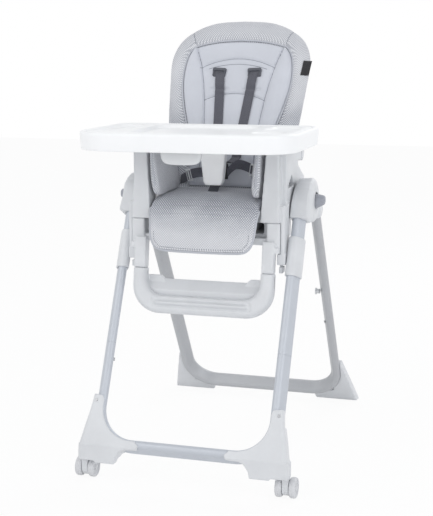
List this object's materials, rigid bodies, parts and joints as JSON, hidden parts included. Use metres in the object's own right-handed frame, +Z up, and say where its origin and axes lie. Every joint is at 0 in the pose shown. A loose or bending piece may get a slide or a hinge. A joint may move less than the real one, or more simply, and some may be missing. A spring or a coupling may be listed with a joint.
{
  "type": "baby high chair",
  "caption": "Folding baby high chair on an A-frame with casters, with a height-adjustable reclining padded seat, harness, leg rest, footrest and sliding tray.",
  "frame": {"origin": "on the floor, under the middle of the chair's box", "axes": "+Z up, the child faces -Y, +X is to the right of someone who faces the child"},
  "size_m": [0.5512, 0.8273, 1.0686],
  "materials": {
    "grey_plastic": "light grey moulded, fine matt texture",
    "dark_grey_plastic": "mid grey moulded, matt",
    "white_plastic": "white, soft gloss",
    "black_plastic": "black moulded",
    "leg_tube": "silver satin powder coat",
    "steel": "zinc plated",
    "caster_wheel": "light grey moulded wheel",
    "woven_fabric": "light heather grey diamond weave",
    "smooth_fabric": "smooth pale blue grey",
    "webbing": "charcoal webbing"
  },
  "bodies": {
    "front_frame": {"front_upper_tube_l": "leg_tube", "front_upper_tube_r": "leg_tube", "front_lower_frame": "leg_tube", "front_foot_l": "grey_plastic", "front_foot_r": "grey_plastic", "front_snap_buttons": "steel", "foot_screws": "steel", "hub_housing_l": "grey_plastic", "hub_housing_r": "grey_plastic", "hub_pins": "steel"},
    "fold_button_l": {"fold_button_l": "dark_grey_plastic"},
    "fold_button_r": {"fold_button_r": "dark_grey_plastic"},
    "caster_l": {"caster_body_l": "grey_plastic", "caster_axle_l": "steel"},
    "caster_r": {"caster_body_r": "grey_plastic", "caster_axle_r": "steel"},
    "wheel_l_outer": {"caster_wheel_l_outer": "caster_wheel"},
    "wheel_l_inner": {"caster_wheel_l_inner": "caster_wheel"},
    "wheel_r_outer": {"caster_wheel_r_outer": "caster_wheel"},
    "wheel_r_inner": {"caster_wheel_r_inner": "caster_wheel"},
    "rear_frame": {"hub_arm_l": "grey_plastic", "hub_arm_r": "grey_plastic", "rear_upper_tube_l": "leg_tube", "rear_upper_tube_r": "leg_tube", "rear_lower_frame": "leg_tube", "rear_foot_l": "grey_plastic", "rear_foot_r": "grey_plastic", "rear_snap_buttons": "steel", "tray_pegs": "grey_plastic", "rear_foot_screws": "steel"},
    "seat": {"slider_sleeve_l": "grey_plastic", "slider_sleeve_r": "grey_plastic", "seat_base": "grey_plastic", "seat_side_l": "grey_plastic", "seat_side_r": "grey_plastic", "leg_rest_pin": "steel", "seat_pad": "woven_fabric", "side_pad_l": "woven_fabric", "side_pad_r": "woven_fabric", "crotch_strap": "webbing", "waist_straps": "webbing", "buckle": "black_plastic", "recline_pins": "steel", "arm_caps": "dark_grey_plastic"},
    "buckle_button": {"buckle_button": "black_plastic"},
    "height_release_l": {"height_release_l": "dark_grey_plastic"},
    "height_release_r": {"height_release_r": "dark_grey_plastic"},
    "footrest": {"footrest": "grey_plastic"},
    "leg_rest": {"leg_rest_panel": "grey_plastic", "leg_rest_pad": "woven_fabric"},
    "backrest": {"backrest_shell": "grey_plastic", "back_pad": "woven_fabric", "insert_pad": "smooth_fabric", "shoulder_straps": "webbing", "strap_loops": "black_plastic"},
    "recline_handle": {"recline_handle": "dark_grey_plastic"},
    "tray": {"tray": "white_plastic", "crotch_post": "white_plastic"},
    "tray_insert": {"tray_insert": "white_plastic"},
    "tray_release": {"tray_release": "grey_plastic"}
  },
  "joints": [
    {"name": "fold", "type": "hinge", "parent": "front_frame", "child": "rear_frame", "pos_m": [0, -0.066, 0.636], "axis": [-1, 0, 0], "range_deg": [0, 50]},
    {"name": "fold_button_l_press", "type": "slide", "parent": "front_frame", "child": "fold_button_l", "axis": [1, 0, 0], "range_m": [0, 0.005], "stiffness_N_per_m": 400, "springref_m": -0.002},
    {"name": "caster_swivel_l", "type": "hinge", "parent": "front_frame", "child": "caster_l", "pos_m": [-0.243, -0.379, 0.05], "axis": [0, 0, 1], "continuous": true},
    {"name": "wheel_l_outer_spin", "type": "hinge", "parent": "caster_l", "child": "wheel_l_outer", "pos_m": [-0.243, -0.371, 0.024], "axis": [1, 0, 0], "continuous": true},
    {"name": "wheel_l_inner_spin", "type": "hinge", "parent": "caster_l", "child": "wheel_l_inner", "pos_m": [-0.243, -0.371, 0.024], "axis": [1, 0, 0], "continuous": true},
    {"name": "fold_button_r_press", "type": "slide", "parent": "front_frame", "child": "fold_button_r", "axis": [-1, 0, 0], "range_m": [0, 0.005], "stiffness_N_per_m": 400, "springref_m": -0.002},
    {"name": "caster_swivel_r", "type": "hinge", "parent": "front_frame", "child": "caster_r", "pos_m": [0.243, -0.379, 0.05], "axis": [0, 0, 1], "continuous": true},
    {"name": "wheel_r_outer_spin", "type": "hinge", "parent": "caster_r", "child": "wheel_r_outer", "pos_m": [0.243, -0.371, 0.024], "axis": [1, 0, 0], "continuous": true},
    {"name": "wheel_r_inner_spin", "type": "hinge", "parent": "caster_r", "child": "wheel_r_inner", "pos_m": [0.243, -0.371, 0.024], "axis": [1, 0, 0], "continuous": true},
    {"name": "seat_height", "type": "slide", "parent": "front_frame", "child": "seat", "axis": [0, -0.4415, -0.8973], "range_m": [-0.02, 0.18]},
    {"name": "height_release_l_lift", "type": "slide", "parent": "seat", "child": "height_release_l", "axis": [0, 0, 1], "range_m": [0, 0.005], "stiffness_N_per_m": 400, "springref_m": -0.003},
    {"name": "height_release_r_lift", "type": "slide", "parent": "seat", "child": "height_release_r", "axis": [0, 0, 1], "range_m": [0, 0.005], "stiffness_N_per_m": 400, "springref_m": -0.003},
    {"name": "recline", "type": "hinge", "parent": "seat", "child": "backrest", "pos_m": [0, -0.006, 0.655], "axis": [-1, 0, 0], "range_deg": [0, 30]},
    {"name": "recline_handle_pull", "type": "slide", "parent": "backrest", "child": "recline_handle", "axis": [0, 0.4226, 0.9063], "range_m": [0, 0.006], "stiffness_N_per_m": 400, "springref_m": -0.003},
    {"name": "leg_rest_tilt", "type": "hinge", "parent": "seat", "child": "leg_rest", "pos_m": [0, -0.19, 0.63], "axis": [-1, 0, 0], "range_deg": [0, 60]},
    {"name": "footrest_drop", "type": "slide", "parent": "seat", "child": "footrest", "axis": [0, -0.1564, -0.9877], "range_m": [0, 0.04]},
    {"name": "buckle_button_press", "type": "slide", "parent": "seat", "child": "buckle_button", "axis": [0, 1, 0], "range_m": [0, 0.0025], "stiffness_N_per_m": 300, "springref_m": -0.002},
    {"name": "tray_slide", "type": "slide", "parent": "seat", "child": "tray", "axis": [0, -1, 0], "range_m": [0, 0.1]},
    {"name": "tray_insert_lift", "type": "slide", "parent": "tray", "child": "tray_insert", "axis": [0, 0, 1], "range_m": [0, 0.06]},
    {"name": "tray_release_pull", "type": "slide", "parent": "tray", "child": "tray_release", "axis": [0, -1, 0], "range_m": [0, 0.008], "stiffness_N_per_m": 400, "springref_m": -0.003}
  ]
}
